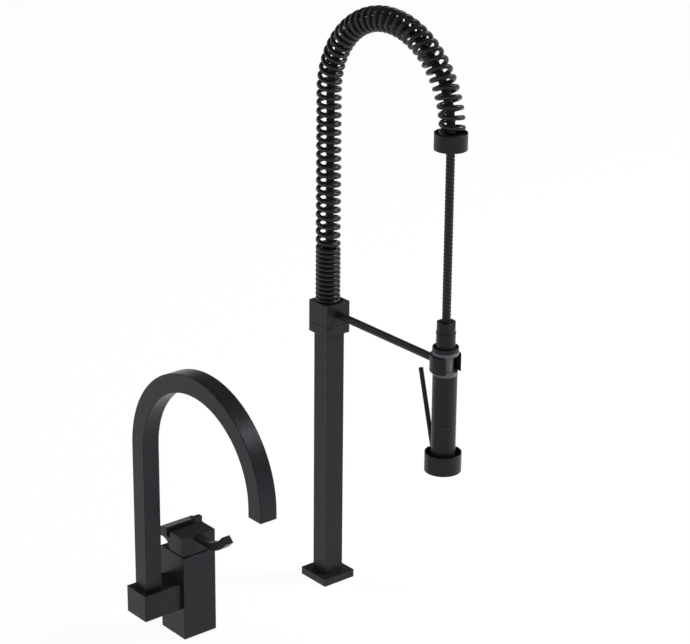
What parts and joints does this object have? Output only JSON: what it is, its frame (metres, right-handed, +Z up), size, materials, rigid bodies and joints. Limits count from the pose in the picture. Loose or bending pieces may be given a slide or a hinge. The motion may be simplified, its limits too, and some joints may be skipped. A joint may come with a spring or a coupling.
{
  "type": "pre rinse faucet",
  "caption": "Black deck-mounted sink tap set: square spray column with spring arch, holder arm and trigger handset, beside a single-lever mixer with a square gooseneck spout.",
  "frame": {"origin": "centre of the spray column's deck flange, on the deck", "axes": "+Z up from the deck; the holder arm and the spout point to -Y; the mixer stands at -X"},
  "size_m": [0.3376, 0.2744, 0.8074],
  "materials": {
    "black_coated_metal": "fine matt black powder coat",
    "black_spring_steel": "satin black coated wire",
    "grey_holder_spool": "satin dark grey",
    "black_hose": "ribbed black hose cover",
    "black_rubber": "moulded rubber",
    "brass": "machined",
    "stainless_steel": "machined",
    "moulded_plastic": "moulded",
    "ceramic": "lapped white ceramic"
  },
  "bodies": {
    "base": {"deck_gaskets": "black_rubber", "column_flange": "black_coated_metal", "column_base_insert": "brass", "column_tube": "black_coated_metal", "riser_pipe": "brass", "hub_collar": "black_coated_metal", "swivel_washer": "moulded_plastic", "swivel_o_rings": "black_rubber", "swivel_clip_ring": "stainless_steel", "mixer_body": "black_coated_metal", "outlet_link": "brass", "outlet_block": "black_coated_metal", "spout_bush": "moulded_plastic", "spout_lock_screw": "stainless_steel", "cartridge_housing": "moulded_plastic", "fixed_disc": "ceramic", "cartridge_cover": "moulded_plastic", "cartridge_nut": "brass"},
    "arm_hub": {"swivel_bush": "moulded_plastic", "hub_block": "black_coated_metal", "hose_nipple": "black_coated_metal", "hose": "black_hose", "spray_spring": "black_spring_steel", "spring_cup": "black_coated_metal", "cup_grommet": "black_rubber", "arm_rod": "black_coated_metal", "arm_set_screws": "stainless_steel", "holder": "black_coated_metal"},
    "hose_end": {"hose_tail": "brass", "tail_o_ring": "black_rubber", "tail_ferrule": "stainless_steel"},
    "handset": {"swivel_sleeve": "black_coated_metal", "lock_ring": "black_coated_metal", "hose_nut": "black_coated_metal", "spool": "grey_holder_spool", "grip_tube": "black_coated_metal", "valve_body": "black_coated_metal", "valve_cap": "brass", "valve_spring": "stainless_steel", "trigger_pin": "stainless_steel", "spray_ring": "black_coated_metal", "spray_face": "moulded_plastic", "spray_nozzles": "black_rubber", "face_screw": "stainless_steel"},
    "trigger": {"trigger_lever": "black_coated_metal"},
    "valve_stem": {"valve_poppet": "brass", "valve_seal": "black_rubber"},
    "spout": {"spout_foot": "brass", "spout_o_rings": "black_rubber", "spout_tube": "black_coated_metal", "aerator": "moulded_plastic"},
    "mixer_rotor": {"cartridge_rotor": "moulded_plastic", "tilt_pin": "stainless_steel"},
    "mixer_handle": {"cartridge_spindle": "stainless_steel", "cap": "black_coated_metal", "cap_key": "black_coated_metal", "cap_screws": "stainless_steel", "lever_bar": "black_coated_metal"},
    "mixing_disc": {"moving_disc": "ceramic", "disc_driver": "moulded_plastic"}
  },
  "joints": [
    {"name": "hub_swivel", "type": "hinge", "parent": "base", "child": "arm_hub", "pos_m": [0, 0, 0.377], "axis": [0, 0, 1], "range_deg": [-45, 90]},
    {"name": "handset_unhook", "type": "slide", "parent": "arm_hub", "child": "hose_end", "axis": [0, -1, 0], "range_m": [0, 0.06], "deforming": ["hose"]},
    {"name": "handset_turn", "type": "hinge", "parent": "hose_end", "child": "handset", "pos_m": [0, -0.225, 0.41], "axis": [0, 0, 1], "continuous": true},
    {"name": "trigger_squeeze", "type": "hinge", "parent": "handset", "child": "trigger", "pos_m": [0, -0.20857, 0.251], "axis": [1, 0, 0], "range_deg": [0, 11.5], "stiffness_Nm_per_rad": 1, "springref_deg": -8.59},
    {"name": "valve_travel", "type": "slide", "parent": "handset", "child": "valve_stem", "axis": [0, -1, 0], "range_m": [0, 0.0014], "deforming": ["valve_spring"]},
    {"name": "spout_swivel", "type": "hinge", "parent": "base", "child": "spout", "pos_m": [-0.2927, 0, 0.0745], "axis": [0, 0, 1], "range_deg": [-90, 10]},
    {"name": "temperature_turn", "type": "hinge", "parent": "base", "child": "mixer_rotor", "pos_m": [-0.231, 0, 0.112], "axis": [0, 0, 1], "range_deg": [-45, 45]},
    {"name": "lever_lift", "type": "hinge", "parent": "mixer_rotor", "child": "mixer_handle", "pos_m": [-0.231, 0, 0.114], "axis": [-1, 0, 0], "range_deg": [0, 20]},
    {"name": "disc_travel", "type": "slide", "parent": "mixer_rotor", "child": "mixing_disc", "axis": [0, -1, 0], "range_m": [0, 0.0036]}
  ],
  "couplings": [
    {"joint": "valve_travel", "follows": "trigger_squeeze", "m_per_rad": 0.0065},
    {"joint": "disc_travel", "follows": "lever_lift", "m_per_rad": 0.01}
  ]
}
